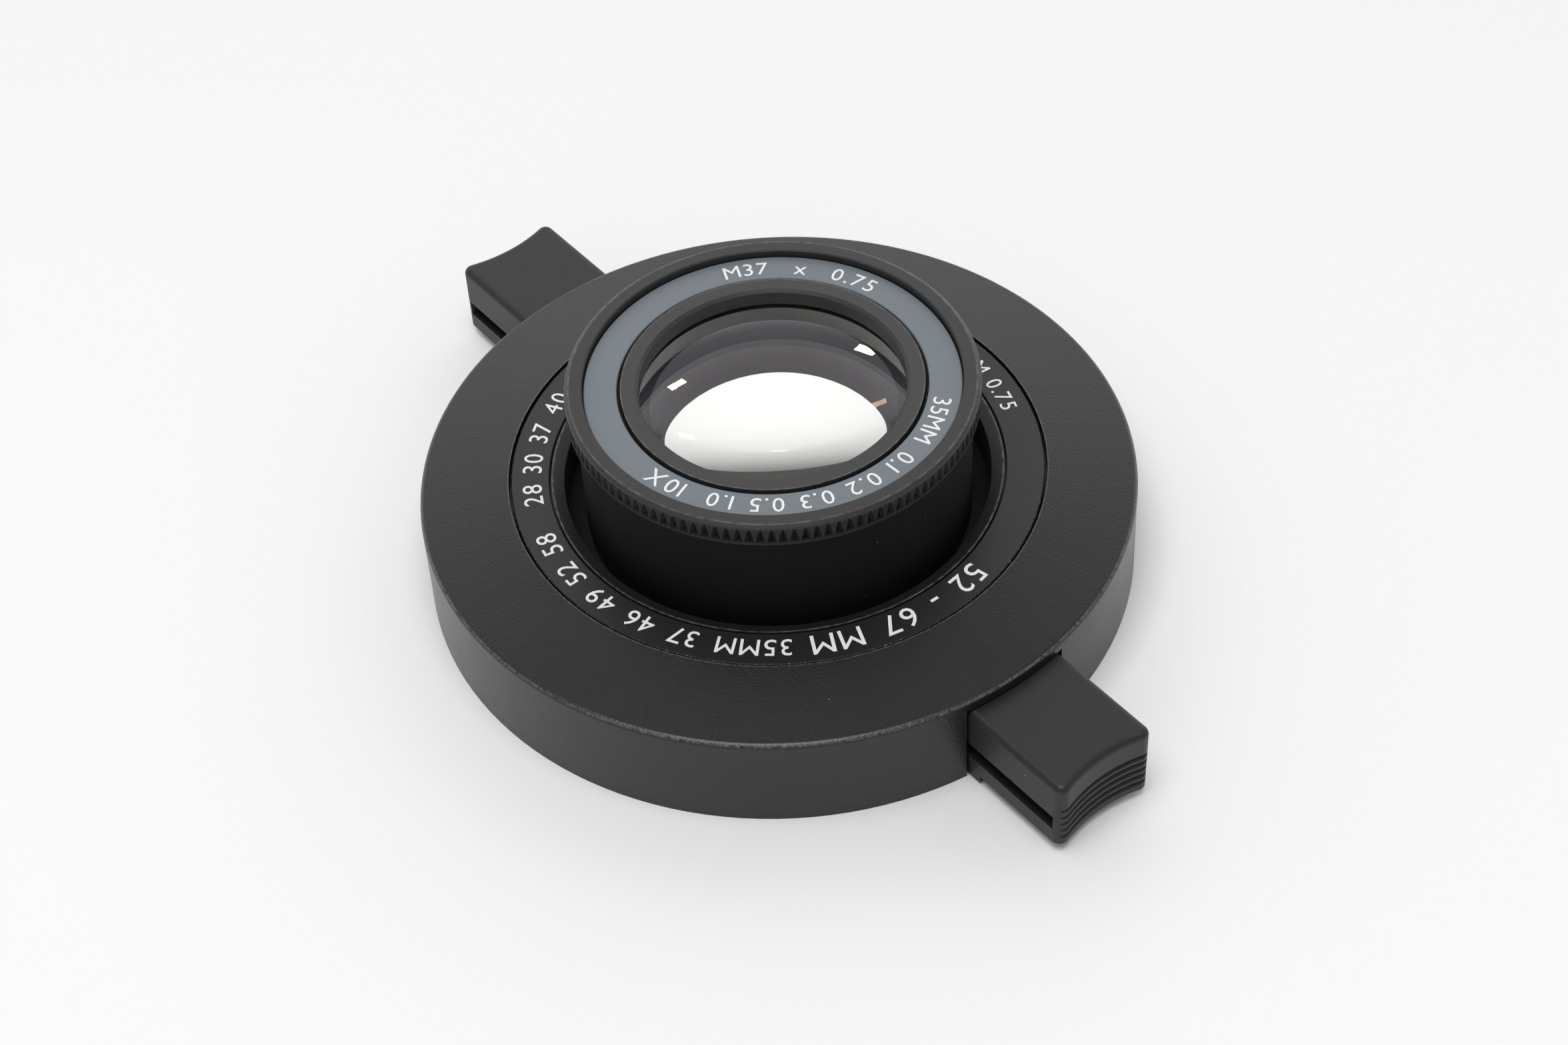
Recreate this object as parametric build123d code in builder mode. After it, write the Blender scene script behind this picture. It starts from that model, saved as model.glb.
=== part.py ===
from build123d import *
import os

os.makedirs("parts", exist_ok=True)

# Close-up lens on a clip-on adapter. Millimetres. +Z is the optical axis and points at the subject.
# The origin is on the axis, in the plane that the rim stands on. The two finger tabs lie along X.

# Cover: a moulded dish, open at the back. Each tab's window runs down through the foot.
COVER_R = 42.4              # rim radius at the front edge
RIM_R = 42.5                # rim radius at the foot, after the mould's draft
FACE_EDGE_Z = 12.4          # height of the front face at the rim
FACE_Z = 13.65              # height of the front face at the seam
SEAM_R = 31.8
WALL = 1.9
EDGE_FILLET = 0.6
LEDGE_Z = 11.85             # top of the ledge that carries the mount ring
LEDGE_THICKNESS = 0.9
LEDGE_R = 28.3
BOSS_R = 2.7
WINDOW_GAP = 0.25

# Mount ring: turned, with the socket that the lens screws into and a well round the barrel.
SOCKET_R = 18.5             # for a 37 mm thread, drawn as a plain bore
SOCKET_BACK_Z = 3.9
WELL_FLOOR_Z = 7.7
WELL_R = 25.25
MOUNT_WALL_R = 26.5
MOUNT_FLOOR_Z = 5.45
MOUNT_BOSS_R = 21.8
FLANGE_R = 31.5
FLANGE_THICKNESS = 0.9
BEVEL_TOP_Z = 13.5
BEVEL_WIDTH = 1.4
BEVEL_DROP = 0.6
BEVEL_R = 26.75

# Cover label ring: a thin printed ring glued over the flange.
LABEL_R = (26.95, 31.5)
LABEL_THICKNESS = 0.8

# Back plate, between the upper and lower limbs of the tabs.
PLATE_Z = 3.65
PLATE_THICKNESS = 1.7
PLATE_R = 40.0
PLATE_HOLE_R = 22.0
NOTCH_START = 26.7
NOTCH_WIDTH = 6.4

# Finger tabs.
TAB_END = 57.2              # outer corner of a tab before it is rounded, measured from the axis
TAB_WIDTH = 13.6
TAB_TOP_Z = 10.8
TAB_BOTTOM_Z = 1.4
SLOT_Z = (3.5, 5.55)        # bottom and top of the slot that straddles the back plate
TAB_INNER = 35.5
STEP_X = 43.8               # the lower limb is deeper from here inwards
STEP_Z = 0.4
LIMB_START = 39.4           # the lower limb is full width from here outwards
TAB_FILLET = 0.85
TAB_CORNER_R = 1.1
HOLLOW_SAG = 1.3            # depth of the finger hollow in the outer end
END_WALL = 1.45
SHOULDER_X = 39.0           # shoulders stop the tab against the inside of the rim
SHOULDER_WIDTH = 18.4
NECK_START = 25.5
NECK_WIDTH = 6.0
NECK_Z = 2.1
GRIP_GROOVES = 5
GRIP_PITCH = 1.1
GRIP_TOP_Z = 7.0
GRIP_DEPTH = 0.65
GRIP_MOUTH = 0.85

# Springs, one behind each tab, coiled about an axis along X.
SPRING_Z = 8.1
SPRING_R = 1.65
WIRE_R = 0.22
SPRING_TURNS = 11
SPRING_SEAT_X = 26.1        # flat milled on the mount ring's wall
POCKET_R = 2.05
POCKET_DEPTH = 8.0

# Jaws, which grip a filter thread from inside.
JAW_R = 30.0
JAW_CENTRE_X = 4.0
JAW_WALL = 2.0
JAW_HALF_WIDTH = 18.4
JAW_Z = (0.15, 2.05)
JAW_PLATE_Z = 0.75
JAW_PLATE_START = 25.5
JAW_THREADS = 2
THREAD_PITCH = 0.75
THREAD_DEPTH = 0.4

# Screws: shank radius, head radius, head height, length.
MOUNT_SCREW = (0.8, 1.4, 0.85, 4.4)
PLATE_SCREW = (1.0, 1.9, 1.1, 6.4)
JAW_SCREW = (0.8, 1.35, 0.8, 2.6)
MOUNT_SCREW_PCR = 29.4
PLATE_SCREW_PCR = 34.8
JAW_SCREW_X = (27.4, 30.2)
SCREW_GAP = 0.04

# Lens: barrel, rings and glass.
BARREL_R = 23.0
BARREL_BACK_Z = 4.1
THREAD_R = 18.42
SHOULDER_Z = 8.05
BARREL_FRONT_Z = 24.75
SPIGOT_R = 20.4
SPIGOT_Z = 26.0
GLASS_BORE_R = 16.5
GLASS_STOP_Z = 10.1
EXIT_R = 15.2
KNURL_R = 24.0
KNURL_BACK_Z = 24.8
LIP_Z = 27.6
LIP_R = (21.93, 23.5)
FRONT_LABEL_R = (17.95, 21.8)
FRONT_LABEL_Z = 26.7
RETAINER_R = 17.55
RETAINER_HOLE_R = 15.5
RETAINER_Z = (24.8, 26.9)
GLASS_R = 16.4
SPACER_HOLE_R = 15.6
SPACER_Z = (17.2, 21.85)

# Glass: rim height and face radius of the front face, then of the back face.
# A face bulges outwards if its radius is positive, is hollow if it is negative and flat if it is 0.
FRONT_GLASS = (24.3, 47.0, 21.9, 0)
PAIR_FRONT_GLASS = (17.0, 90.0, 15.65, 38.0)
PAIR_BACK_GLASS = (15.6, -38.0, 10.15, 0)

STAND = (Align.CENTER, Align.CENTER, Align.MIN)
TABS = (("right", 0), ("left", 180))


def screw_form(size, gap=0.0):
    """A countersunk screw or, with a gap, the hole it leaves: head at z = 0, shank upwards."""
    shank, head, head_height, length = size
    with BuildPart() as form:
        with BuildSketch(Plane.XZ):
            with BuildLine():
                Polyline([
                    (0, -gap),
                    (head + gap, -gap),
                    (head + gap, 0.15 + gap),
                    (shank + gap, head_height + gap),
                    (shank + gap, length + gap),
                    (0, length + gap),
                ], close=True)
            make_face()
        revolve(axis=Axis.Z)
    return form.part


def cross_screw(size):
    """A screw_form with a chamfered point and a cross recess in its head."""
    shank, head, head_height, length = size
    with BuildPart() as screw:
        add(screw_form(size))
        chamfer(screw.edges().group_by(Axis.Z)[-1], length=0.25)
        with BuildSketch(Plane.XY):
            Rectangle(head * 1.3, head * 0.32)
            Rectangle(head * 0.32, head * 1.3)
        extrude(amount=head_height * 0.7, mode=Mode.SUBTRACT)
    return screw.part


def on_circle(radius, place):
    """Four copies of a place, turned about the axis and moved out to a radius."""
    return [Location(loc.position) * place for loc in PolarLocations(radius, 4, 45)]


MOUNT_SCREW_SPOTS = on_circle(MOUNT_SCREW_PCR, Pos(0, 0, LEDGE_Z + FLANGE_THICKNESS) * Rot(180, 0, 0))
PLATE_SCREW_SPOTS = on_circle(PLATE_SCREW_PCR, Pos(0, 0, PLATE_Z))
JAW_SCREW_SPOTS = [Pos(x, 0, JAW_PLATE_Z) for x in JAW_SCREW_X]


# Front cover: a moulded dish with a ledge, screw bosses and a window for each tab.
with BuildPart() as front_cover:
    with BuildSketch(Plane.XZ):
        with BuildLine():
            Polyline([
                (RIM_R - WALL, 0),
                (RIM_R, 0),
                (COVER_R, FACE_EDGE_Z),
                (SEAM_R, FACE_Z),
                (SEAM_R, LEDGE_Z),
                (LEDGE_R, LEDGE_Z),
                (LEDGE_R, LEDGE_Z - LEDGE_THICKNESS),
                (SEAM_R, LEDGE_Z - LEDGE_THICKNESS),
                (SEAM_R + 1.5, FACE_Z - WALL),
                (COVER_R - WALL - 0.3, FACE_EDGE_Z - 1.4),
            ], close=True)
        make_face()
    revolve(axis=Axis.Z)
    fillet(front_cover.edges().filter_by_position(Axis.Z, FACE_EDGE_Z - 0.1, FACE_EDGE_Z + 0.1), EDGE_FILLET)
    with Locations(*on_circle(PLATE_SCREW_PCR, Pos(0, 0, PLATE_Z + PLATE_THICKNESS))):
        Cylinder(BOSS_R, FACE_Z - WALL - PLATE_Z - PLATE_THICKNESS + 0.3, align=STAND)
    with Locations(*on_circle(MOUNT_SCREW_PCR, Pos(0, 0, WELL_FLOOR_Z))):
        Cylinder(2.0, LEDGE_Z - WELL_FLOOR_Z, align=STAND)
    for direction in (1, -1):
        with BuildSketch(Plane.YZ.offset(direction * (COVER_R + 1))):
            with Locations((0, TAB_TOP_Z + WINDOW_GAP)):
                Rectangle(TAB_WIDTH + 2 * WINDOW_GAP, FACE_Z, align=(Align.CENTER, Align.MAX))
        extrude(amount=-direction * 6, mode=Mode.SUBTRACT)
    for spot in MOUNT_SCREW_SPOTS:
        add(spot * screw_form(MOUNT_SCREW, SCREW_GAP), mode=Mode.SUBTRACT)
    for spot in PLATE_SCREW_SPOTS:
        add(spot * screw_form(PLATE_SCREW, SCREW_GAP), mode=Mode.SUBTRACT)

# Mount ring: socket, well and bevelled lip in one turned piece, with a flat for each spring.
with BuildPart() as mount_ring:
    with BuildSketch(Plane.XZ):
        with BuildLine():
            Polyline([
                (SOCKET_R, SOCKET_BACK_Z),
                (MOUNT_BOSS_R, SOCKET_BACK_Z),
                (MOUNT_BOSS_R, MOUNT_FLOOR_Z),
                (MOUNT_WALL_R, MOUNT_FLOOR_Z),
                (MOUNT_WALL_R, LEDGE_Z),
                (FLANGE_R, LEDGE_Z),
                (FLANGE_R, LEDGE_Z + FLANGE_THICKNESS),
                (BEVEL_R, LEDGE_Z + FLANGE_THICKNESS),
                (BEVEL_R, BEVEL_TOP_Z),
                (WELL_R + BEVEL_WIDTH, BEVEL_TOP_Z),
                (WELL_R, BEVEL_TOP_Z - BEVEL_DROP),
                (WELL_R, WELL_FLOOR_Z),
                (SOCKET_R, WELL_FLOOR_Z),
            ], close=True)
        make_face()
    revolve(axis=Axis.Z)
    for direction in (1, -1):
        with Locations((direction * (SPRING_SEAT_X + 1), 0, SPRING_Z)):
            Box(2, 2 * POCKET_R + 1.2, 2 * POCKET_R + 0.8, mode=Mode.SUBTRACT)
    for spot in MOUNT_SCREW_SPOTS:
        add(spot * screw_form(MOUNT_SCREW, SCREW_GAP), mode=Mode.SUBTRACT)

# Cover label ring: hides the mount screws.
with BuildPart() as cover_label_ring:
    with BuildSketch(Plane.XY.offset(LEDGE_Z + FLANGE_THICKNESS)):
        Circle(LABEL_R[1])
        Circle(LABEL_R[0], mode=Mode.SUBTRACT)
    extrude(amount=LABEL_THICKNESS)
    chamfer(cover_label_ring.edges().group_by(Axis.Z)[-1], length=0.12)

# Back plate: closes the mechanism and guides both tabs.
with BuildPart() as back_plate:
    with BuildSketch(Plane.XY.offset(PLATE_Z)):
        Circle(PLATE_R)
        Circle(PLATE_HOLE_R, mode=Mode.SUBTRACT)
        for direction in (1, -1):
            with Locations((direction * (NOTCH_START + PLATE_R + 1) / 2, 0)):
                Rectangle(PLATE_R + 1 - NOTCH_START, NOTCH_WIDTH, mode=Mode.SUBTRACT)
    extrude(amount=PLATE_THICKNESS)
    for spot in PLATE_SCREW_SPOTS:
        add(spot * screw_form(PLATE_SCREW, SCREW_GAP), mode=Mode.SUBTRACT)

# Finger tab: an upper limb with a spring pocket, a lower limb that carries the jaw, and a ribbed end.
HOLLOW_R = (TAB_WIDTH ** 2 / 4 + HOLLOW_SAG ** 2) / (2 * HOLLOW_SAG)
HOLLOW_CENTRE_X = TAB_END - HOLLOW_SAG + HOLLOW_R
with BuildPart() as finger_tab:
    with BuildSketch(Plane.XY.offset(TAB_BOTTOM_Z)) as tab_outline:
        with BuildLine():
            Polyline([(TAB_END, -TAB_WIDTH / 2), (TAB_INNER, -TAB_WIDTH / 2),
                      (TAB_INNER, TAB_WIDTH / 2), (TAB_END, TAB_WIDTH / 2)])
            ThreePointArc((TAB_END, -TAB_WIDTH / 2), (TAB_END - HOLLOW_SAG, 0), (TAB_END, TAB_WIDTH / 2))
        make_face()
        fillet(tab_outline.vertices().group_by(Axis.X)[-1], TAB_CORNER_R)
    extrude(amount=TAB_TOP_Z - TAB_BOTTOM_Z)
    top_rim = finger_tab.edges().group_by(Axis.Z)[-1].sort_by(Axis.X)[1:]
    fillet(top_rim, TAB_FILLET)
    with BuildSketch(Plane.XY.offset(SLOT_Z[0])):
        with Locations(((TAB_INNER + TAB_END) / 2 - 1, 0)):
            Rectangle(TAB_END - TAB_INNER + 2, TAB_WIDTH + 2)
        with Locations((HOLLOW_CENTRE_X, 0)):
            Circle(HOLLOW_R + END_WALL, mode=Mode.SUBTRACT)
    extrude(amount=SLOT_Z[1] - SLOT_Z[0], mode=Mode.SUBTRACT)
    with BuildSketch(Plane.XY.offset(TAB_BOTTOM_Z)):
        with Locations(((TAB_INNER + LIMB_START) / 2 - 1, 0)):
            Rectangle(LIMB_START - TAB_INNER + 2, TAB_WIDTH + 2)
    extrude(amount=SLOT_Z[0] - TAB_BOTTOM_Z, mode=Mode.SUBTRACT)
    with BuildSketch(Plane.XY.offset(STEP_Z)):
        with Locations(((LIMB_START + STEP_X) / 2, 0)):
            Rectangle(STEP_X - LIMB_START, TAB_WIDTH)
    extrude(amount=TAB_BOTTOM_Z - STEP_Z)
    with BuildSketch(Plane.XY.offset(NECK_Z)):
        with Locations(((NECK_START + LIMB_START + 0.5) / 2, 0)):
            Rectangle(LIMB_START + 0.5 - NECK_START, NECK_WIDTH)
    extrude(amount=SLOT_Z[0] - NECK_Z)
    with BuildSketch(Plane.XY.offset(SLOT_Z[0])):
        with Locations(((TAB_INNER + SHOULDER_X) / 2, 0)):
            Rectangle(SHOULDER_X - TAB_INNER, NECK_WIDTH)
    extrude(amount=SLOT_Z[1] - SLOT_Z[0])
    with BuildSketch(Plane.XY.offset(SLOT_Z[1])):
        with Locations(((TAB_INNER + SHOULDER_X) / 2, 0)):
            Rectangle(SHOULDER_X - TAB_INNER, SHOULDER_WIDTH)
    extrude(amount=TAB_TOP_Z - TAB_FILLET - SLOT_Z[1])
    with BuildSketch(Plane.YZ.offset(TAB_INNER)):
        with Locations((0, SPRING_Z)):
            Circle(POCKET_R)
    extrude(amount=POCKET_DEPTH, mode=Mode.SUBTRACT)
    for groove in range(GRIP_GROOVES):
        height = GRIP_TOP_Z - groove * GRIP_PITCH
        with BuildSketch(Plane.XZ):
            with BuildLine():
                Polyline([
                    (HOLLOW_CENTRE_X - HOLLOW_R + 0.05, height - GRIP_MOUTH / 2),
                    (HOLLOW_CENTRE_X - HOLLOW_R + 0.05, height + GRIP_MOUTH / 2),
                    (HOLLOW_CENTRE_X - HOLLOW_R - GRIP_DEPTH, height),
                ], close=True)
            make_face()
        revolve(axis=Axis((HOLLOW_CENTRE_X, 0, 0), (0, 0, 1)), mode=Mode.SUBTRACT)
    for spot in JAW_SCREW_SPOTS:
        add(spot * screw_form(JAW_SCREW, SCREW_GAP), mode=Mode.SUBTRACT)

# Jaw: a curved lip with thread ribs on a plate that is screwed under the tab's neck.
with BuildPart() as jaw:
    with BuildSketch(Plane.XY.offset(JAW_Z[0])):
        with Locations((JAW_CENTRE_X, 0)):
            Circle(JAW_R)
            Circle(JAW_R - JAW_WALL, mode=Mode.SUBTRACT)
        with Locations((JAW_CENTRE_X + JAW_R, 0)):
            Rectangle(2 * JAW_R, 2 * JAW_HALF_WIDTH, mode=Mode.INTERSECT)
    extrude(amount=JAW_Z[1] - JAW_Z[0])
    with BuildSketch(Plane.XY.offset(JAW_PLATE_Z)):
        with Locations((JAW_CENTRE_X, 0)):
            Circle(JAW_R - JAW_WALL / 2)
        with Locations((JAW_PLATE_START + JAW_R / 2, 0)):
            Rectangle(JAW_R, 2 * JAW_HALF_WIDTH, mode=Mode.INTERSECT)
    extrude(amount=JAW_Z[1] - JAW_PLATE_Z)
    for rib in range(JAW_THREADS):
        height = JAW_Z[0] + 0.5 + rib * THREAD_PITCH
        with BuildSketch(Plane.XZ):
            with BuildLine():
                Polyline([
                    (JAW_CENTRE_X + JAW_R + 0.05, height - THREAD_DEPTH * 0.7),
                    (JAW_CENTRE_X + JAW_R + 0.05, height + THREAD_DEPTH * 0.7),
                    (JAW_CENTRE_X + JAW_R - THREAD_DEPTH, height),
                ], close=True)
            make_face()
        revolve(axis=Axis((JAW_CENTRE_X, 0, 0), (0, 0, 1)), mode=Mode.SUBTRACT)
    for spot in JAW_SCREW_SPOTS:
        add(spot * screw_form(JAW_SCREW, SCREW_GAP), mode=Mode.SUBTRACT)

# Tab spring: wound from the mount ring's flat to the bottom of the tab's pocket.
SPRING_LENGTH = TAB_INNER + POCKET_DEPTH - SPRING_SEAT_X - 2 * WIRE_R - 0.04
SPRING_PITCH = SPRING_LENGTH / SPRING_TURNS
with BuildPart() as tab_spring:
    with BuildLine():
        coil = Helix(SPRING_PITCH, SPRING_LENGTH, SPRING_R,
                     center=(SPRING_SEAT_X + WIRE_R + 0.02, 0, SPRING_Z), direction=(1, 0, 0))
    with BuildSketch(Plane(coil @ 0, z_dir=coil % 0)):
        Circle(WIRE_R)
    sweep(is_frenet=True)

# Barrel: shoulder and thread at the back, spigot for the front ring.
with BuildPart() as lens_barrel:
    with BuildSketch(Plane.XZ):
        with BuildLine():
            Polyline([
                (EXIT_R + 1.2, BARREL_BACK_Z),
                (THREAD_R - 0.3, BARREL_BACK_Z),
                (THREAD_R, BARREL_BACK_Z + 0.3),
                (THREAD_R, SHOULDER_Z),
                (BARREL_R, SHOULDER_Z),
                (BARREL_R, BARREL_FRONT_Z),
                (SPIGOT_R, BARREL_FRONT_Z),
                (SPIGOT_R, SPIGOT_Z),
                (RETAINER_R + 0.05, SPIGOT_Z),
                (RETAINER_R + 0.05, RETAINER_Z[0]),
                (GLASS_BORE_R, RETAINER_Z[0]),
                (GLASS_BORE_R, GLASS_STOP_Z),
                (EXIT_R, GLASS_STOP_Z),
                (EXIT_R, GLASS_STOP_Z - 1.2),
            ], close=True)
        make_face()
    revolve(axis=Axis.Z)

# Seating washer: between the barrel's shoulder and the floor of the well.
with BuildPart() as seating_washer:
    with BuildSketch(Plane.XY.offset(WELL_FLOOR_Z)):
        Circle(BARREL_R - 0.6)
        Circle(THREAD_R + 0.3, mode=Mode.SUBTRACT)
    extrude(amount=SHOULDER_Z - WELL_FLOOR_Z)

# Front ring: the knurled grip, screwed over the barrel's spigot.
with BuildPart() as front_ring:
    with BuildSketch(Plane.XZ):
        with BuildLine():
            Polyline([
                (SPIGOT_R + 0.05, KNURL_BACK_Z),
                (KNURL_R, KNURL_BACK_Z),
                (KNURL_R, LIP_Z - 0.5),
                (LIP_R[1], LIP_Z),
                (LIP_R[0] + 0.15, LIP_Z),
                (LIP_R[0], LIP_Z - 0.15),
                (LIP_R[0], SPIGOT_Z + 0.05),
                (SPIGOT_R + 0.05, SPIGOT_Z + 0.05),
            ], close=True)
        make_face()
    revolve(axis=Axis.Z)

# Front label ring: the grey printed ring in the front ring's recess.
with BuildPart() as front_label_ring:
    with BuildSketch(Plane.XY.offset(SPIGOT_Z + 0.05)):
        Circle(FRONT_LABEL_R[1])
        Circle(FRONT_LABEL_R[0], mode=Mode.SUBTRACT)
    extrude(amount=FRONT_LABEL_Z - SPIGOT_Z - 0.05)
    chamfer(front_label_ring.edges().group_by(Axis.Z)[-1], length=0.1)

# Retainer: screws into the barrel and holds the front glass down.
with BuildPart() as glass_retainer:
    with BuildSketch(Plane.XZ):
        with BuildLine():
            Polyline([
                (RETAINER_HOLE_R, RETAINER_Z[0]),
                (RETAINER_R, RETAINER_Z[0]),
                (RETAINER_R, RETAINER_Z[1]),
                (RETAINER_HOLE_R + 0.35, RETAINER_Z[1]),
                (RETAINER_HOLE_R, RETAINER_Z[1] - 0.35),
            ], close=True)
        make_face()
    revolve(axis=Axis.Z)


def sag(radius):
    """How far a spherical face stands above its rim: negative if it is hollow."""
    if radius == 0:
        return 0
    height = abs(radius) - (radius ** 2 - GLASS_R ** 2) ** 0.5
    return height if radius > 0 else -height


def lens_element(front_z, front_radius, back_z, back_radius):
    """A round glass element with spherical or flat faces."""
    front_pole = (0, front_z + sag(front_radius))
    back_pole = (0, back_z - sag(back_radius))
    with BuildPart() as element:
        with BuildSketch(Plane.XZ):
            with BuildLine():
                Line(back_pole, front_pole)
                RadiusArc(front_pole, (GLASS_R, front_z), front_radius)
                Line((GLASS_R, front_z), (GLASS_R, back_z))
                if back_radius:
                    RadiusArc((GLASS_R, back_z), back_pole, back_radius)
                else:
                    Line((GLASS_R, back_z), back_pole)
            make_face()
        revolve(axis=Axis.Z)
    return element.part


# Glass, from the front: an element with a flat back, then a cemented pair behind an air space.
front_element = lens_element(*FRONT_GLASS)
pair_front_element = lens_element(*PAIR_FRONT_GLASS)
pair_back_element = lens_element(*PAIR_BACK_GLASS)

# Spacer: sets the air space between the two groups.
with BuildPart() as glass_spacer:
    with BuildSketch(Plane.XY.offset(SPACER_Z[0])):
        Circle(GLASS_BORE_R - 0.05)
        Circle(SPACER_HOLE_R, mode=Mode.SUBTRACT)
    extrude(amount=SPACER_Z[1] - SPACER_Z[0])

single_pieces = {
    "front_cover": front_cover.part,
    "mount_ring": mount_ring.part,
    "cover_label_ring": cover_label_ring.part,
    "back_plate": back_plate.part,
    "lens_barrel": lens_barrel.part,
    "seating_washer": seating_washer.part,
    "front_ring": front_ring.part,
    "front_label_ring": front_label_ring.part,
    "glass_retainer": glass_retainer.part,
    "glass_spacer": glass_spacer.part,
    "front_element": front_element,
    "pair_front_element": pair_front_element,
    "pair_back_element": pair_back_element,
    "mount_screws": Compound([spot * cross_screw(MOUNT_SCREW) for spot in MOUNT_SCREW_SPOTS]),
    "plate_screws": Compound([spot * cross_screw(PLATE_SCREW) for spot in PLATE_SCREW_SPOTS]),
}
tab_pieces = {
    "tab": finger_tab.part,
    "jaw": jaw.part,
    "spring": tab_spring.part,
    "jaw_screws": Compound([spot * cross_screw(JAW_SCREW) for spot in JAW_SCREW_SPOTS]),
}
for name, piece in single_pieces.items():
    piece.label = name
    export_step(piece, f"parts/{name}.step")
for side, turn in TABS:
    for name, piece in tab_pieces.items():
        placed = Rot(0, 0, turn) * piece
        placed.label = f"{side}_{name}"
        export_step(placed, f"parts/{side}_{name}.step")
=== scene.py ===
import math

import bmesh
import bpy
from mathutils import Matrix, Vector


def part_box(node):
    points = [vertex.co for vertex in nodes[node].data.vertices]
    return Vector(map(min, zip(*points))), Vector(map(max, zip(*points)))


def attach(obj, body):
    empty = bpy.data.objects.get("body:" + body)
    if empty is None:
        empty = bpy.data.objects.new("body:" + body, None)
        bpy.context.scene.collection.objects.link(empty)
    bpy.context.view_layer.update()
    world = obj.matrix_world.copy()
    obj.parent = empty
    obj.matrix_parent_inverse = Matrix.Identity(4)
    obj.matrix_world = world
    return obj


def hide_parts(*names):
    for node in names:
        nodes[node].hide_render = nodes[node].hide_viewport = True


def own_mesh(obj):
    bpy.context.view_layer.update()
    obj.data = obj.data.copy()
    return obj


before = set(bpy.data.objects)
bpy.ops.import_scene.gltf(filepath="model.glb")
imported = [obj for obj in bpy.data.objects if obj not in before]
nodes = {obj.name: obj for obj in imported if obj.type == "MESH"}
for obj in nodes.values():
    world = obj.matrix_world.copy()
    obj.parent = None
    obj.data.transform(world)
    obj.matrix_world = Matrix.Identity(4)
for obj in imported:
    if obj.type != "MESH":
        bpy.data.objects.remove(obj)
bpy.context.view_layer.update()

everything = bpy.context.scene.collection

# Camera.
# A short tele lens that looks down at about 46 degrees and is turned a little on its own axis, with
# the right-hand finger tab towards it and the left-hand one pointing away.
film_width, focal_length = 36.0, 66.52
camera_distance = 0.3559
camera_lean = -3.33
camera_data = bpy.data.cameras.new("camera")
camera_data.sensor_width = film_width
camera_data.lens = focal_length
camera_data.clip_start = 0.01
camera = bpy.data.objects.new("camera", camera_data)
everything.objects.link(camera)
aim_point = Vector((-0.00332, 0.00292, -0.0013))
camera_back = Vector((0.55636, -0.4115, 0.72189)).normalized()
camera.location = aim_point + camera_back * camera_distance
camera_aim = camera_back.to_track_quat("Z", "Y").to_matrix().to_4x4()
camera_roll = Matrix.Rotation(math.radians(camera_lean), 4, "Z")
camera.rotation_euler = (camera_aim @ camera_roll).to_euler()
bpy.context.scene.camera = camera
bpy.context.scene.view_settings.view_transform = "Standard"

# Table.
# A sheet of smooth white board that carries on well past the edges of the view, so that it is its
# own backdrop.
board_reach = 3.0
board_white = (0.87, 0.87, 0.872, 1)
board = bpy.data.materials.new("white_board")
board.use_nodes = True
board_face = board.node_tree.nodes["Principled BSDF"]
board_face.inputs["Base Color"].default_value = board_white
board_face.inputs["Roughness"].default_value = 0.75
board_face.inputs["Specular IOR Level"].default_value = 0.2


def piece_of(name, bm, *materials):
    """A new object, with the finished bmesh as its mesh."""
    mesh = bpy.data.meshes.new(name)
    bm.to_mesh(mesh)
    bm.free()
    for material in materials:
        mesh.materials.append(material)
    piece = bpy.data.objects.new(name, mesh)
    everything.objects.link(piece)
    return piece


bm = bmesh.new()
bmesh.ops.create_grid(bm, x_segments=1, y_segments=1, size=board_reach)
table = piece_of("table", bm, board)

# Light.
# A pale room, bright on the far side and darker at the ceiling, with one broad soft lamp overhead. A
# round lamp just under the glass lights the table there, so that it looks bright through the glass.
# Small warm lamps on the far side light the glass alone, which mirrors them.
bright_side = (-0.8, 0.6, 0.0)
side_strengths = {"From Min": 0.1, "From Max": 0.75, "To Min": 0.5, "To Max": 1.3}
room_tones = ((0.0, 0.8), (0.5, 1.1), (0.7, 0.9), (0.84, 0.42), (1.0, 0.3))
lamp_white = (1.0, 0.995, 0.99)
glass_light = (1.0, 1.0, 0.99)
glass_light_height, glass_light_width = 0.0036, 0.047
warm_white = (1.0, 0.78, 0.45)
warm_distance, warm_radiance = 0.8, 80.0
# azimuth, elevation, width and height of each
warm_lamps = ((145, 7, 0.11, 0.075), (132, 5, 0.05, 0.045), (124, 25, 0.05, 0.05), (168, 35, 0.05, 0.035))
room = bpy.data.worlds.new("room")
bpy.context.scene.world = room
room.use_nodes = True
room_nodes = room.node_tree.nodes
room_links = room.node_tree.links
direction = room_nodes.new("ShaderNodeTexCoord")
up = room_nodes.new("ShaderNodeSeparateXYZ")
walls = room_nodes.new("ShaderNodeValToRGB")
for at, _ in room_tones[1:-1]:
    walls.color_ramp.elements.new(at)
for element, (at, tone) in zip(walls.color_ramp.elements, room_tones):
    element.position = at
    element.color = (tone, tone, tone * 1.01, 1)
room_links.new(direction.outputs["Generated"], up.inputs[0])
room_links.new(up.outputs["Z"], walls.inputs["Fac"])
room_links.new(walls.outputs["Color"], room_nodes["Background"].inputs["Color"])
away = room_nodes.new("ShaderNodeVectorMath")
away.operation = "DOT_PRODUCT"
away.inputs[1].default_value = bright_side
room_links.new(direction.outputs["Generated"], away.inputs[0])
dimming = room_nodes.new("ShaderNodeMapRange")
for label, strength in side_strengths.items():
    dimming.inputs[label].default_value = strength
room_links.new(away.outputs["Value"], dimming.inputs["Value"])
room_links.new(dimming.outputs["Result"], room_nodes["Background"].inputs["Strength"])


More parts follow.
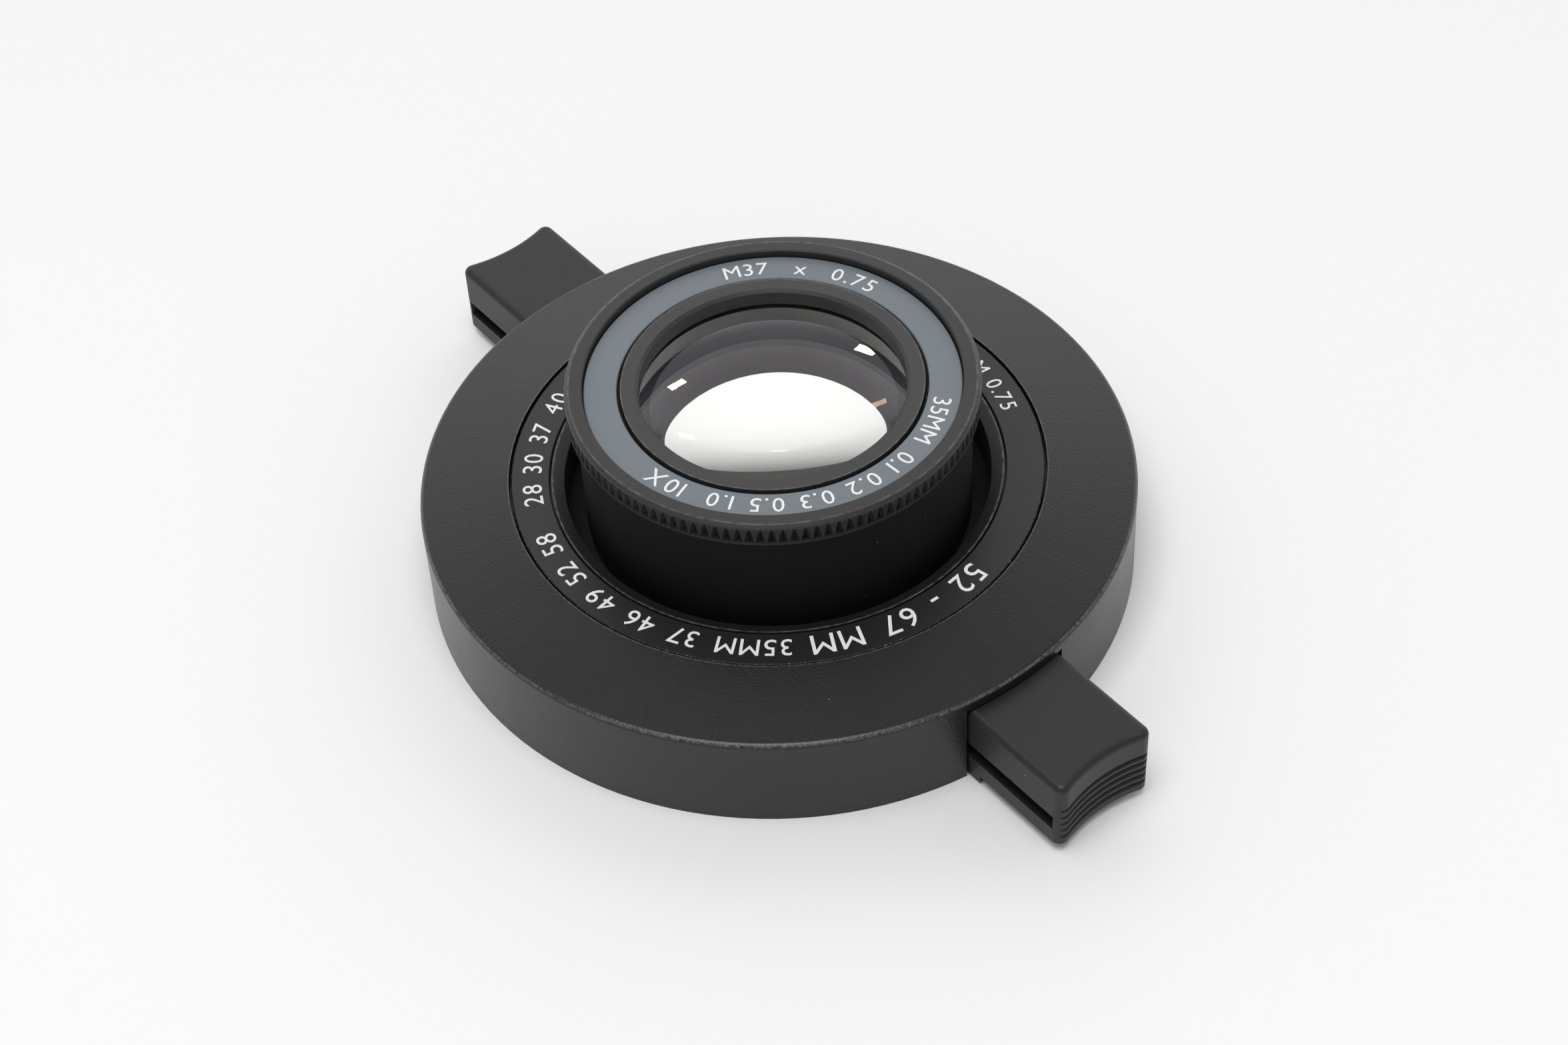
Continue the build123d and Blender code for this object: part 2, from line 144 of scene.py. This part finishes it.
def lamp(name, azimuth, elevation, distance, size, radiance, colour):
    """A rectangular lamp, with its direction given in degrees, turned towards the object."""
    data = bpy.data.lights.new(name, "AREA")
    data.shape = "RECTANGLE"
    data.size, data.size_y = size
    data.energy = radiance * math.pi * size[0] * size[1]
    data.color = colour
    round_angle, up_angle = math.radians(azimuth), math.radians(elevation)
    towards = Vector((math.cos(round_angle) * math.cos(up_angle), math.sin(round_angle) * math.cos(up_angle),
                      math.sin(up_angle)))
    fitting = bpy.data.objects.new(name, data)
    everything.objects.link(fitting)
    fitting.location = towards * distance
    fitting.rotation_euler = towards.to_track_quat("Z", "Y").to_euler()
    return fitting


lit_by_warm_lamps = bpy.data.collections.new("lit_by_warm_lamps")
lamp("soft_lamp", -60, 78, 1.2, (0.8, 0.7), 5.3, lamp_white)
under_glass = lamp("under_glass", 0, 90, glass_light_height, (glass_light_width, glass_light_width), 1.15,
                   glass_light)
under_glass.data.shape = "DISK"
under_glass.visible_camera = False
under_glass.visible_glossy = False
under_glass.visible_transmission = False
for number, (azimuth, elevation, width, height) in enumerate(warm_lamps):
    warm_lamp = lamp(f"warm_lamp_{number}", azimuth, elevation, warm_distance, (width, height), warm_radiance,
                     warm_white)
    warm_lamp.light_linking.receiver_collection = lit_by_warm_lamps

# Front cover.
# A dish moulded in black plastic with a fine grain, open at the back. Its rim has been handled, so
# the edge is worn a little brighter; along the outer edge that band is also a painted highlight.
# The groove round the printed ring has caught dust.
cover_black = (0.008, 0.0082, 0.0085, 1)
# grey of the worn edges, and of the painted highlight along the outer edge
wear_and_highlight_grey = (0.12, 0.122, 0.125, 1)
dust_white = (0.55, 0.54, 0.5, 1)


def effect(name, inputs, outputs):
    """An empty group of shader nodes: its tree, its entry node and its exit node."""
    tree = bpy.data.node_groups.new(name, "ShaderNodeTree")
    for label, value in inputs.items():
        socket = tree.interface.new_socket(label, in_out="INPUT", socket_type="NodeSocketFloat")
        socket.default_value = value
    for label in outputs:
        tree.interface.new_socket(label, in_out="OUTPUT", socket_type="NodeSocketFloat")
    return tree, tree.nodes.new("NodeGroupInput"), tree.nodes.new("NodeGroupOutput")


def join(tree, value, socket):
    """Sets a socket to a plain number, or links another socket to it."""
    if isinstance(value, (int, float)):
        socket.default_value = value
    else:
        tree.links.new(value, socket)


def worked(tree, operation, *terms, clamp=False):
    """What a Math node makes of its terms."""
    node = tree.nodes.new("ShaderNodeMath")
    node.operation = operation
    node.use_clamp = clamp
    for socket, term in zip(node.inputs, terms):
        join(tree, term, socket)
    return node.outputs[0]


def texture(tree, kind, scale, **settings):
    """A texture node on Object coordinates."""
    node = tree.nodes.new(kind)
    for label, value in settings.items():
        node.inputs[label].default_value = value
    join(tree, scale, node.inputs["Scale"])
    tree.links.new(tree.nodes.new("ShaderNodeTexCoord").outputs["Object"], node.inputs["Vector"])
    return node


def place_in(tree):
    """The X, Y and Z of the surface on Object coordinates."""
    split = tree.nodes.new("ShaderNodeSeparateXYZ")
    tree.links.new(tree.nodes.new("ShaderNodeTexCoord").outputs["Object"], split.inputs[0])
    return split.outputs


def long_side(tree, one, other):
    """The long side of a right-angled triangle, from the two others."""
    squares = worked(tree, "ADD", worked(tree, "POWER", one, 2.0), worked(tree, "POWER", other, 2.0))
    return worked(tree, "POWER", squares, 0.5)


# Grain: a bumpy height of the given size in metres, and slow patches for the roughness.
grain, grain_in, grain_out = effect("grain", {"Size": 0.0002, "Patch": 0.006}, ("Height", "Patches"))
pebble_scale = worked(grain, "DIVIDE", 1.0, grain_in.outputs["Size"])
pebbles = texture(grain, "ShaderNodeTexNoise", pebble_scale, Detail=2.0)
patch_scale = worked(grain, "DIVIDE", 1.0, grain_in.outputs["Patch"])
patches = texture(grain, "ShaderNodeTexNoise", patch_scale, Detail=3.0)
grain.links.new(pebbles.outputs["Fac"], grain_out.inputs["Height"])
grain.links.new(patches.outputs["Fac"], grain_out.inputs["Patches"])

# Wear: a broken line round the axis at a radius and a height, fading out over a width.
wear, wear_in, wear_out = effect(
    "ring_wear", {"Radius": 0.04, "Height": 0.01, "Width": 0.0004, "Spread": 0.0009}, ("Mask",))
place = place_in(wear)
off_radius = worked(wear, "SUBTRACT", long_side(wear, place["X"], place["Y"]), wear_in.outputs["Radius"])
off_height = worked(wear, "SUBTRACT", place["Z"], wear_in.outputs["Height"])
share_off = worked(wear, "DIVIDE", long_side(wear, off_radius, off_height), wear_in.outputs["Width"])
closeness = worked(wear, "SUBTRACT", 1.0, share_off, clamp=True)
break_scale = worked(wear, "DIVIDE", 1.0, wear_in.outputs["Spread"])
breaks = texture(wear, "ShaderNodeTexNoise", break_scale, Detail=4.0)
patchy = worked(wear, "MULTIPLY_ADD", breaks.outputs["Fac"], 3.0, -0.9, clamp=True)
wear.links.new(worked(wear, "MULTIPLY", closeness, patchy), wear_out.inputs["Mask"])

# Dust: round specks of the given size, one chance in each cell as wide as the spacing.
dust, dust_in, dust_out = effect(
    "dust", {"Spacing": 0.0012, "Size": 0.00008, "Share": 0.3}, ("Mask",))
cells = texture(dust, "ShaderNodeTexVoronoi", worked(dust, "DIVIDE", 1.0, dust_in.outputs["Spacing"]))
cell_colour = dust.nodes.new("ShaderNodeSeparateColor")
dust.links.new(cells.outputs["Color"], cell_colour.inputs[0])
usual_radius = worked(dust, "DIVIDE", dust_in.outputs["Size"], dust_in.outputs["Spacing"])
own_share = worked(dust, "MULTIPLY_ADD", cell_colour.outputs["Green"], 0.8, 0.4)
speck_radius = worked(dust, "MULTIPLY", usual_radius, own_share)
speck = worked(dust, "LESS_THAN", cells.outputs["Distance"], speck_radius)
chosen = worked(dust, "LESS_THAN", cell_colour.outputs["Red"], dust_in.outputs["Share"])
dust.links.new(worked(dust, "MULTIPLY", speck, chosen), dust_out.inputs["Mask"])


def place_effect(material, group, **values):
    """A group's node in a material, with this material's own numbers."""
    node = material.node_tree.nodes.new("ShaderNodeGroup")
    node.node_tree = group
    for label, value in values.items():
        node.inputs[label].default_value = value
    return node


def lay_over(material, mask, colour):
    """Mixes a colour over what already feeds the base colour, where the mask is 1."""
    tree = material.node_tree
    base = tree.nodes["Principled BSDF"].inputs["Base Color"]
    mix = tree.nodes.new("ShaderNodeMix")
    mix.data_type = "RGBA"
    tree.links.new(mask, mix.inputs["Factor"])
    if base.links:
        tree.links.new(base.links[0].from_socket, mix.inputs["A"])
    else:
        mix.inputs["A"].default_value = base.default_value
    mix.inputs["B"].default_value = colour
    tree.links.new(mix.outputs["Result"], base)


def finish_of(name, colour, roughness, uneven, grain_size, grain_depth, patch=0.006):
    """A finish with its grain: roughness varies by uneven, and the grain is grain_depth deep."""
    material = bpy.data.materials.new(name)
    material.use_nodes = True
    tree = material.node_tree
    face = tree.nodes["Principled BSDF"]
    face.inputs["Base Color"].default_value = colour
    texture_of = place_effect(material, grain, Size=grain_size, Patch=patch)
    gloss = worked(tree, "MULTIPLY_ADD", texture_of.outputs["Patches"], uneven, roughness - uneven / 2)
    tree.links.new(gloss, face.inputs["Roughness"])
    bump = tree.nodes.new("ShaderNodeBump")
    bump.inputs["Distance"].default_value = grain_depth
    tree.links.new(texture_of.outputs["Height"], bump.inputs["Height"])
    tree.links.new(bump.outputs["Normal"], face.inputs["Normal"])
    return material


def give(material, *names):
    """Puts a material on CAD nodes."""
    for name in names:
        slots = nodes[name].data.materials
        slots.clear()
        slots.append(material)


grained_plastic = finish_of("grained_black_plastic", cover_black, 0.31, 0.08, 0.00028, 0.000034)
face_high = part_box("front_cover")[1].z
# painted highlight: the band along the rounded outer edge is partly wear and partly a painted highlight
outer_edge_wear_and_highlight = {"Radius": 0.04222, "Height": face_high - 0.00136, "Width": 0.00026}
groove_edge = {"Radius": 0.0318, "Height": face_high, "Width": 0.00018}
# the outer edge gets wear and painted highlight, the groove's edge gets wear
for wear_and_highlight_band in (outer_edge_wear_and_highlight, groove_edge):
    rim_wear_and_highlight = place_effect(grained_plastic, wear, Spread=0.0004, **wear_and_highlight_band)
    lay_over(grained_plastic, rim_wear_and_highlight.outputs["Mask"], wear_and_highlight_grey)
cover_dust = place_effect(grained_plastic, dust, Spacing=0.0035, Size=0.00007, Share=0.25)
lay_over(grained_plastic, cover_dust.outputs["Mask"], dust_white)
give(grained_plastic, "front_cover", "back_plate")

# Mount ring.
# Turned aluminium, anodised black. Inside the well it is rougher and painted nearly black, which is
# painted shade in the recess. The lens screws into it, and its bevelled lip is a little brighter along the
# outer edge.
anodised_black = (0.012, 0.012, 0.0125, 1)
bare_aluminium = (0.13, 0.13, 0.13, 1)
# painted shade: the colour inside the well is nearly black where the recess falls into shade
well_painted_shade, well_radius, well_dullness = (0.002, 0.002, 0.002, 1), 0.0253, 0.9
mount_finish = finish_of("black_anodised", anodised_black, 0.38, 0.1, 0.00009, 0.000004)
lip_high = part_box("mount_ring")[1].z
lip_wear = place_effect(mount_finish, wear, Radius=0.02662, Height=lip_high, Width=0.00022)
lay_over(mount_finish, lip_wear.outputs["Mask"], bare_aluminium)
mount_dust = place_effect(mount_finish, dust, Spacing=0.0016, Size=0.00006, Share=0.35)
lay_over(mount_finish, mount_dust.outputs["Mask"], dust_white)

# Within: everything nearer to the axis than a radius.
within, within_in, within_out = effect("within_radius", {"Radius": 0.02}, ("Mask",))
spot = place_in(within)
nearer = worked(within, "LESS_THAN", long_side(within, spot["X"], spot["Y"]), within_in.outputs["Radius"])
within.links.new(nearer, within_out.inputs["Mask"])

# painted shade laid over everything inside the well's radius, which is also made duller
well_shade_mask = place_effect(mount_finish, within, Radius=well_radius)
lay_over(mount_finish, well_shade_mask.outputs["Mask"], well_painted_shade)
mount_tree = mount_finish.node_tree
mount_roughness = mount_tree.nodes["Principled BSDF"].inputs["Roughness"]
dull_wall = worked(mount_tree, "MULTIPLY", well_shade_mask.outputs["Mask"], well_dullness)
duller = worked(mount_tree, "MAXIMUM", mount_roughness.links[0].from_socket, dull_wall)
mount_tree.links.new(duller, mount_roughness)
give(mount_finish, "mount_ring")

# Screws.
# Small countersunk cross-head screws of blackened steel. The ones in the mount ring are hidden by
# the printed ring, the others show at the back.
blackened_steel = (0.16, 0.16, 0.165, 1)
screw_finish = finish_of("blackened_steel", blackened_steel, 0.42, 0.15, 0.0001, 0.000005)
screw_finish.node_tree.nodes["Principled BSDF"].inputs["Metallic"].default_value = 1.0
give(screw_finish, "mount_screws", "plate_screws", "right_jaw_screws", "left_jaw_screws")

# Printed ring on the cover.
# A thin ring with a smoother black finish, glued over the mount ring's flange, with filter sizes
# printed round it in white. The numbers stand with their tops outwards.
cover_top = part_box("cover_label_ring")[1].z
ring_black = (0.009, 0.0092, 0.0098, 1)
ink_white, ink_worn = (0.78, 0.79, 0.79, 1), (0.3, 0.31, 0.31, 1)
label_black = finish_of("label_black", ring_black, 0.4, 0.08, 0.00012, 0.000005)
groove_dust = place_effect(label_black, wear, Radius=0.0315, Height=cover_top, Width=0.00025, Spread=0.0003)
sparse = worked(label_black.node_tree, "MULTIPLY_ADD", groove_dust.outputs["Mask"], 3.0, -1.6, clamp=True)
lay_over(label_black, sparse, dust_white)
label_dust = place_effect(label_black, dust, Spacing=0.003, Size=0.00006, Share=0.3)
lay_over(label_black, label_dust.outputs["Mask"], dust_white)
give(label_black, "cover_label_ring")
print_white = finish_of("printed_white", ink_white, 0.5, 0.1, 0.00008, 0.000003)
print_worn = place_effect(print_white, dust, Spacing=0.0009, Size=0.0001, Share=0.25)
lay_over(print_white, print_worn.outputs["Mask"], ink_worn)


def glyph(character, height):
    """A figure or letter as a flat mesh, standing on its baseline with its left edge at x = 0."""
    curve = bpy.data.curves.new("glyph", "FONT")
    curve.body = character
    curve.resolution_u = 3
    holder = bpy.data.objects.new("glyph", curve)
    everything.objects.link(holder)
    bpy.context.view_layer.update()
    mesh = bpy.data.meshes.new_from_object(holder)
    bpy.data.objects.remove(holder)
    bpy.data.curves.remove(curve)
    # how tall this typeface's figures are at a size of 1
    cap_height = 0.729
    mesh.transform(Matrix.Scale(height / cap_height, 4))
    left = min(vertex.co.x for vertex in mesh.vertices)
    width = max(vertex.co.x for vertex in mesh.vertices) - left
    mesh.transform(Matrix.Translation((-left, 0, 0)))
    return mesh, width


def ring_print(name, body, base_z, lines):
    """White print round the axis. Each line is its text, its middle in degrees, the radius of its
    baseline and its height; it reads clockwise with the tops outwards."""
    film = 0.00004
    bm = bmesh.new()
    for text, middle, radius, height in lines:
        gap, space = 0.22 * height, 0.62 * height
        glyphs = [None if character == " " else glyph(character, height) for character in text]
        length = sum(space if item is None else item[1] + gap for item in glyphs) - gap
        done = -length / 2
        for item in glyphs:
            if item is None:
                done += space
                continue
            mesh, width = item
            turn = math.radians(middle) - (done + width / 2) / (radius + height / 2)
            mesh.transform(Matrix.Rotation(turn - math.pi / 2, 4, "Z")
                           @ Matrix.Translation((-width / 2, radius, base_z + film)))
            bm.from_mesh(mesh)
            bpy.data.meshes.remove(mesh)
            done += width + gap
    bmesh.ops.remove_doubles(bm, verts=bm.verts, dist=1e-7)
    bmesh.ops.recalc_face_normals(bm, faces=bm.faces)
    flipped = [face for face in bm.faces if face.normal.z < 0]
    bmesh.ops.reverse_faces(bm, faces=flipped)
    walls = bmesh.ops.extrude_face_region(bm, geom=bm.faces[:])
    lower = [item for item in walls["geom"] if isinstance(item, bmesh.types.BMVert)]
    bmesh.ops.translate(bm, verts=lower, vec=(0, 0, -2 * film))
    bmesh.ops.recalc_face_normals(bm, faces=bm.faces)
    piece = piece_of(name, bm, print_white)
    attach(piece, body)


ring_print("cover_print", "housing", cover_top, (
    ("52 - 67 MM", -9, 0.0277, 0.003),
    ("35MM", -44, 0.0279, 0.0025),
    ("37 46 49 52 58", -82, 0.0279, 0.0025),
    ("28 30 37 40", -136, 0.0279, 0.0024),
    ("0.75  0.50", 170, 0.0280, 0.0021),
    ("M 0.75", 76, 0.0280, 0.0021),
))

# Springs.
# One coil of bright steel wire behind each tab, pressed between a flat on the mount ring and the
# bottom of the tab's pocket. The real springs shorten as the tabs are pinched; the coils here are built at
# one length.
wire_radius, coil_radius, coil_turns = 0.00022, 0.00165, 11
steps = coil_turns * 24
bright_steel = (0.5, 0.5, 0.51, 1)
spring_finish = finish_of("spring_steel", bright_steel, 0.3, 0.1, 0.0001, 0.000003)
spring_finish.node_tree.nodes["Principled BSDF"].inputs["Metallic"].default_value = 1.0
for side, direction_x in (("right", 1), ("left", -1)):
    low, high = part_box(f"{side}_spring")
    middle = (low + high) / 2
    coil_length = high.x - low.x - 2 * wire_radius
    fixed_end = low.x if side == "right" else high.x
    bm = bmesh.new()
    section = bmesh.ops.create_circle(bm, cap_ends=True, segments=8, radius=wire_radius)["verts"]
    # the section stands across the wire's path at the top of the coil
    across = Matrix.Rotation(math.pi, 3, "Z") @ Matrix.Rotation(math.pi / 2, 3, "X")
    bmesh.ops.rotate(bm, verts=section, cent=(0, 0, 0), matrix=across)
    start = Vector((fixed_end + direction_x * wire_radius, middle.y, middle.z))
    bmesh.ops.translate(bm, verts=section, vec=start + Vector((0, 0, coil_radius)))
    # each step of the spin is also moved along, which winds the wire
    bmesh.ops.spin(bm, geom=bm.faces[:] + bm.edges[:] + bm.verts[:], cent=start, axis=(1, 0, 0),
                   dvec=(direction_x * coil_length / steps, 0, 0), angle=coil_turns * math.tau, steps=steps,
                   space=Matrix.Identity(4), use_duplicate=False)
    bmesh.ops.remove_doubles(bm, verts=bm.verts, dist=1e-7)
    bmesh.ops.recalc_face_normals(bm, faces=bm.faces)
    for face in bm.faces:
        face.smooth = True
    coil = piece_of(f"{side}_coil", bm, spring_finish)
    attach(coil, "housing")
    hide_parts(f"{side}_spring")
    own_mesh(coil)

# Finger tabs and jaws.
# Moulded in the same plastic as the cover but with a finer grain. The jaws are screwed under them and
# grip a filter thread from inside.
tab_black, jaw_black = (0.0085, 0.0087, 0.0091, 1), (0.014, 0.014, 0.0145, 1)
tab_plastic = finish_of("tab_black_plastic", tab_black, 0.46, 0.1, 0.0002, 0.000016)
tab_dust = place_effect(tab_plastic, dust, Spacing=0.003, Size=0.00007, Share=0.3)
lay_over(tab_plastic, tab_dust.outputs["Mask"], dust_white)
give(tab_plastic, "right_tab", "left_tab")
jaw_plastic = finish_of("jaw_black_plastic", jaw_black, 0.45, 0.1, 0.00018, 0.00001)
give(jaw_plastic, "right_jaw", "left_jaw")

# Seating washer.
# A thin ring punched from black rubber sheet. It lies loose on the floor of the well, under the
# barrel's shoulder, and rises with the barrel when the lens is unscrewed.
rubber_black = (0.012, 0.012, 0.012, 1)
washer_rubber = finish_of("washer_rubber", rubber_black, 0.8, 0.1, 0.0001, 0.000005)
give(washer_rubber, "seating_washer")

# Lens barrel.
# Turned aluminium with a deep matte black finish. Its bore and the ring between the glasses have a
# brownish paint instead, against stray light.
bore_brown, bore_radius = (0.017, 0.0125, 0.0075, 1), 0.0168
barrel_black = (0.0035, 0.0035, 0.0037, 1)
barrel_finish = finish_of("barrel_matte_black", barrel_black, 0.68, 0.1, 0.00008, 0.0000015)
barrel_finish.node_tree.nodes["Principled BSDF"].inputs["Specular IOR Level"].default_value = 0.28
barrel_dust = place_effect(barrel_finish, dust, Spacing=0.0014, Size=0.00006, Share=0.3)
lay_over(barrel_finish, barrel_dust.outputs["Mask"], dust_white)
bore_wall = place_effect(barrel_finish, within, Radius=bore_radius)
lay_over(barrel_finish, bore_wall.outputs["Mask"], bore_brown)
give(barrel_finish, "lens_barrel")
bore_paint = finish_of("bore_brown_black", bore_brown, 0.5, 0.1, 0.0001, 0.0000015)
give(bore_paint, "glass_spacer")

# Front ring.
# The grip that the lens is screwed in by: black anodised aluminium with 120 V-shaped cuts round its
# side, each coming to a point near the top, and a thin plain lip below them.
ring_bottom_corner, ring_top_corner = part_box("front_ring")
knurl_radius = ring_top_corner.x
ring_low, ring_high = ring_bottom_corner.z, ring_top_corner.z
knurl_black, worn_edge_grey = (0.02, 0.02, 0.0205, 1), (0.1, 0.1, 0.1, 1)
tooth_count = 120
half_tooth = math.pi / tooth_count
cut_depth, cut_rows = 0.0007, 8
lip_height, cut_start = 0.00035, 0.00002
cut_bottom, cut_top = ring_low + lip_height, ring_high - 0.00052
face_radius, face_round = 0.0234, 0.0002
inner_wall, inner_bevel = 0.02193, 0.00015
spigot_wall, shelf = 0.02045, ring_high - 0.00155
outline = [(spigot_wall, ring_low), (knurl_radius, ring_low), (knurl_radius, cut_bottom)]
for row in range(cut_rows + 1):
    share = row / cut_rows
    outline.append((knurl_radius, cut_bottom + cut_start + (cut_top - cut_bottom) * share))
outline += [(knurl_radius, ring_high - 0.0005), (knurl_radius - 0.0001, ring_high - 0.0003),
            (face_radius + face_round, ring_high - cut_start), (face_radius, ring_high),
            (inner_wall + inner_bevel, ring_high), (inner_wall, ring_high - inner_bevel),
            (inner_wall, shelf), (spigot_wall, shelf)]
bm = bmesh.new()
corners = [bm.verts.new((r, 0, z)) for r, z in outline]
for first, second in zip(corners, corners[1:] + corners[:1]):
    bm.edges.new((first, second))
bmesh.ops.spin(bm, geom=bm.verts[:] + bm.edges[:], cent=(0, 0, 0), axis=(0, 0, 1), angle=half_tooth, steps=2)
# Each cut is deepest at its bottom and closes in a curve towards its point, and half a tooth stands
# between the middle of a cut and the middle of the next tooth.
for vertex in bm.verts:
    share = (vertex.co.z - cut_bottom) / (cut_top - cut_bottom)
    on_side = math.hypot(vertex.co.x, vertex.co.y) > knurl_radius - 1e-6
    if on_side and 0.0001 < share <= 1.001:
        open_share = (1 - min(share, 1)) ** 0.5
        turn = math.atan2(vertex.co.y, vertex.co.x)
        if turn < 0.1 * half_tooth:
            reach = knurl_radius - cut_depth * open_share
            vertex.co.x, vertex.co.y = reach, 0
        elif turn < 0.9 * half_tooth:
            turn = half_tooth * (0.04 + 0.84 * open_share)
            vertex.co.x, vertex.co.y = knurl_radius * math.cos(turn), knurl_radius * math.sin(turn)
bmesh.ops.mirror(bm, geom=bm.verts[:] + bm.edges[:] + bm.faces[:], axis="Y", merge_dist=1e-7)
bmesh.ops.spin(bm, geom=bm.verts[:] + bm.edges[:] + bm.faces[:], cent=(0, 0, 0), axis=(0, 0, 1),
               angle=math.tau, steps=tooth_count, use_duplicate=True)
bmesh.ops.remove_doubles(bm, verts=bm.verts, dist=2e-6)
bmesh.ops.dissolve_degenerate(bm, edges=bm.edges, dist=1e-6)
bmesh.ops.recalc_face_normals(bm, faces=bm.faces)
knurl_finish = finish_of("knurl_black", knurl_black, 0.4, 0.1, 0.0001, 0.000006)
ring_edge = place_effect(knurl_finish, wear, Radius=0.0235, Height=ring_high, Width=0.0002)
lay_over(knurl_finish, ring_edge.outputs["Mask"], worn_edge_grey)
knurled_ring = piece_of("knurled_ring", bm, knurl_finish)
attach(knurled_ring, "lens")
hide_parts("front_ring")

# Printed ring at the front.
# A thin ring painted blue-grey, which lies in the front ring's recess. White figures are printed round
# it, with their tops outwards.
blue_grey = (0.15, 0.174, 0.191, 1)
baseline, figure_height = 0.0187, 0.0022
label_grey = finish_of("label_grey", blue_grey, 0.42, 0.08, 0.0001, 0.000004)
grey_dust = place_effect(label_grey, dust, Spacing=0.0016, Size=0.00006, Share=0.2)
lay_over(label_grey, grey_dust.outputs["Mask"], dust_white)
give(label_grey, "front_label_ring")
grey_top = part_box("front_label_ring")[1].z
ring_print("front_print", "lens", grey_top, (
    ("M37  x  0.75", 131, baseline, figure_height),
    ("35MM", 30, baseline, figure_height),
    ("0.1 0.2 0.3 0.5", -17, baseline, figure_height),
    ("1.0", -56, baseline, figure_height),
    ("10X", -76, baseline, 0.0023),
))

# Glass retainer.
# A ring turned in aluminium and anodised black. It screws into the barrel and holds the front glass
# down, and its outer edge is a little brighter.
retainer_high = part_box("glass_retainer")[1].z
retainer_black, edge_grey = (0.03, 0.03, 0.0305, 1), (0.14, 0.14, 0.14, 1)
retainer_finish = finish_of("retainer_black", retainer_black, 0.42, 0.1, 0.0001, 0.000005)
retainer_edge = place_effect(retainer_finish, wear, Radius=0.01755, Height=retainer_high, Width=0.0002)
lay_over(retainer_finish, retainer_edge.outputs["Mask"], edge_grey)
give(retainer_finish, "glass_retainer")

# Glass.
# A front element with a domed front and, behind an air space, a cemented pair; both have flat
# backs. The faces are polished and coated, and the ground rims are blackened.
glass_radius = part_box("front_element")[1].x
ground_black, clear = (0.01, 0.01, 0.01, 1), (0.985, 0.99, 0.98, 1)
front_coating, pair_coating = (0.14, 0.12, 0.2, 1), (0.17, 0.14, 0.13, 1)
rim_black = finish_of("rim_black", ground_black, 0.7, 0.1, 0.0001, 0.000005)


def optical_glass(name, refraction, coating):
    """Clear coated glass; the coating tints what the faces reflect."""
    material = bpy.data.materials.new(name)
    material.use_nodes = True
    face = material.node_tree.nodes["Principled BSDF"]
    face.inputs["Base Color"].default_value = clear
    face.inputs["Roughness"].default_value = 0.0
    face.inputs["IOR"].default_value = refraction
    face.inputs["Transmission Weight"].default_value = 1.0
    face.inputs["Specular Tint"].default_value = coating
    return material


def element(name, material, front_z, front_radius, back_z, back_radius, stands_for):
    """A round glass with faces of the given radii. A radius of 0 is a flat face."""
    steps, turns = 40, 160
    bm = bmesh.new()
    for rim_z, bend, way in ((front_z, front_radius, 1), (back_z, back_radius, -1)):
        if bend:
            opening = math.asin(glass_radius / bend)
            pole = bm.verts.new((0, 0, rim_z + way * bend * (1 - math.cos(opening))))
            centre = (0, 0, pole.co.z - way * bend)
            bmesh.ops.spin(bm, geom=[pole], cent=centre, axis=(0, 1, 0), angle=way * opening, steps=steps)
        else:
            pole = bm.verts.new((0, 0, rim_z))
            edge = bm.verts.new((glass_radius, 0, rim_z))
            bm.edges.new((pole, edge))
    rims = [vertex for vertex in bm.verts if vertex.co.x > glass_radius - 1e-6]
    bm.edges.new(rims)
    bmesh.ops.spin(bm, geom=bm.verts[:] + bm.edges[:], cent=(0, 0, 0), axis=(0, 0, 1), angle=math.tau,
                   steps=turns, use_merge=True)
    bmesh.ops.remove_doubles(bm, verts=bm.verts, dist=1e-7)
    bmesh.ops.recalc_face_normals(bm, faces=bm.faces)
    for face in bm.faces:
        face.smooth = True
        face.material_index = 1 if abs(face.normal.z) < 0.05 else 0
    for edge in bm.edges:
        if len({face.material_index for face in edge.link_faces}) > 1:
            edge.smooth = False
    piece = piece_of(name, bm, material, rim_black)
    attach(piece, "lens")
    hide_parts(*stands_for)
    lit_by_warm_lamps.objects.link(piece)


front_glass = optical_glass("coated_glass_front", 1.6, front_coating)
pair_glass = optical_glass("coated_glass_pair", 1.55, pair_coating)
element("front_glass", front_glass, 0.0243, 0.047, 0.0219, 0, ("front_element",))
element("cemented_pair", pair_glass, 0.017, 0.09, 0.01015, 0, ("pair_front_element", "pair_back_element"))
